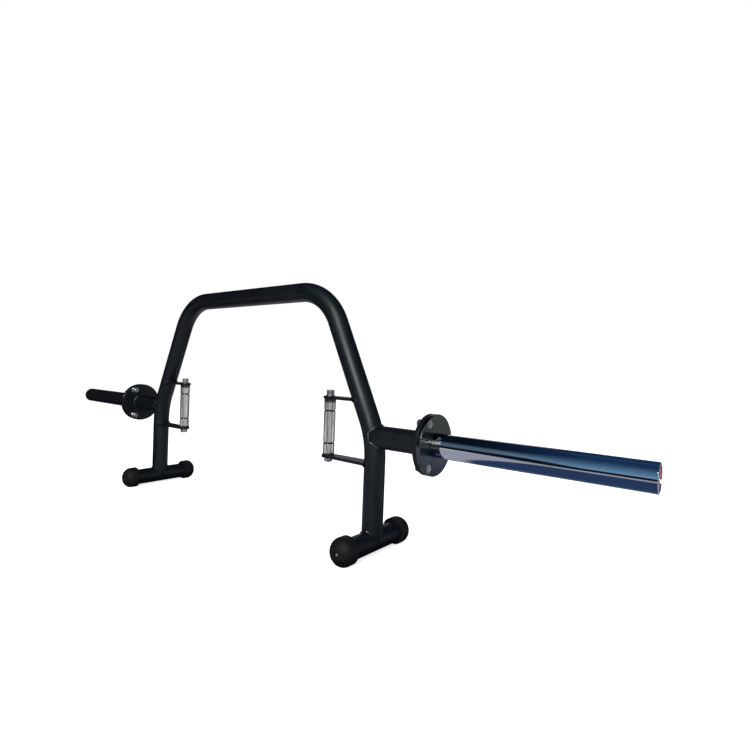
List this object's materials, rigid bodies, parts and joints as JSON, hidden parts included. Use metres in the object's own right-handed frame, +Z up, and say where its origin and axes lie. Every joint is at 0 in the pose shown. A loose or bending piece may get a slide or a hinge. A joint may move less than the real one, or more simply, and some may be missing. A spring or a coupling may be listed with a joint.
{
  "type": "trap bar",
  "caption": "Arched open trap bar standing on rubber-capped feet, with rotating chrome sleeves on bolted flanges and knurled upright grips between bracket plates.",
  "frame": {"origin": "on the floor, below the middle of the bar", "axes": "+X along the bar and its sleeves, +Y from the front feet to the rear feet, +Z up to the arch"},
  "size_m": [2.0178, 0.242, 0.6224],
  "materials": {
    "satin_black_paint": "satin powder coat, near black with a slight navy cast",
    "gloss_black_plate": "gloss black with a bright rim",
    "chrome": "bright chrome plate, polished on the sleeves and knurled on the grips",
    "bright_zinc": "bright zinc-plated fasteners",
    "bare_steel": "turned bare steel, lightly oiled",
    "bronze": "sintered bronze bush",
    "copper_red": "copper-red satin",
    "black_rubber": "matte black rubber"
  },
  "bodies": {
    "frame": {"arch_frame": "satin_black_paint", "cap_screw_front_left": "bright_zinc", "cap_screw_front_right": "bright_zinc", "cap_screw_rear_left": "bright_zinc", "cap_screw_rear_right": "bright_zinc", "end_screw_left": "bright_zinc", "end_screw_right": "bright_zinc", "end_washer_left": "copper_red", "end_washer_right": "copper_red", "flange_nut_lower_left": "bright_zinc", "flange_nut_lower_right": "bright_zinc", "flange_nut_rear_left": "bright_zinc", "flange_nut_rear_right": "bright_zinc", "flange_nut_upper_left": "bright_zinc", "flange_nut_upper_right": "bright_zinc", "flange_screw_lower_left": "bright_zinc", "flange_screw_lower_right": "bright_zinc", "flange_screw_rear_left": "bright_zinc", "flange_screw_rear_right": "bright_zinc", "flange_screw_upper_left": "bright_zinc", "flange_screw_upper_right": "bright_zinc", "foot_cap_front_left": "black_rubber", "foot_cap_front_right": "black_rubber", "foot_cap_rear_left": "black_rubber", "foot_cap_rear_right": "black_rubber", "foot_plug_front_left": "bare_steel", "foot_plug_front_right": "bare_steel", "foot_plug_rear_left": "bare_steel", "foot_plug_rear_right": "bare_steel", "foot_tube_left": "satin_black_paint", "foot_tube_right": "satin_black_paint", "frame_flange_left": "satin_black_paint", "frame_flange_right": "satin_black_paint", "grip_bolt_left": "bright_zinc", "grip_bolt_right": "bright_zinc", "grip_left": "chrome", "grip_nut_left": "bright_zinc", "grip_nut_right": "bright_zinc", "grip_right": "chrome", "grip_washer_left": "bright_zinc", "grip_washer_right": "bright_zinc", "lower_bracket_left": "satin_black_paint", "lower_bracket_right": "satin_black_paint", "sleeve_flange_left": "gloss_black_plate", "sleeve_flange_right": "gloss_black_plate", "spindle_left": "bare_steel", "spindle_right": "bare_steel", "stub_tube_left": "satin_black_paint", "stub_tube_right": "satin_black_paint", "upper_bracket_left": "satin_black_paint", "upper_bracket_right": "satin_black_paint"},
    "right_sleeve": {"inner_bush_right": "bronze", "outer_bush_right": "bronze", "sleeve_right": "chrome"},
    "left_sleeve": {"inner_bush_left": "bronze", "outer_bush_left": "bronze", "sleeve_left": "chrome"}
  },
  "joints": [
    {"name": "right_sleeve_spin", "type": "hinge", "parent": "frame", "child": "right_sleeve", "pos_m": [0.6154, 0, 0.2617], "axis": [1, 0, 0], "continuous": true},
    {"name": "left_sleeve_spin", "type": "hinge", "parent": "frame", "child": "left_sleeve", "pos_m": [-0.6154, 0, 0.2617], "axis": [1, 0, 0], "continuous": true}
  ]
}
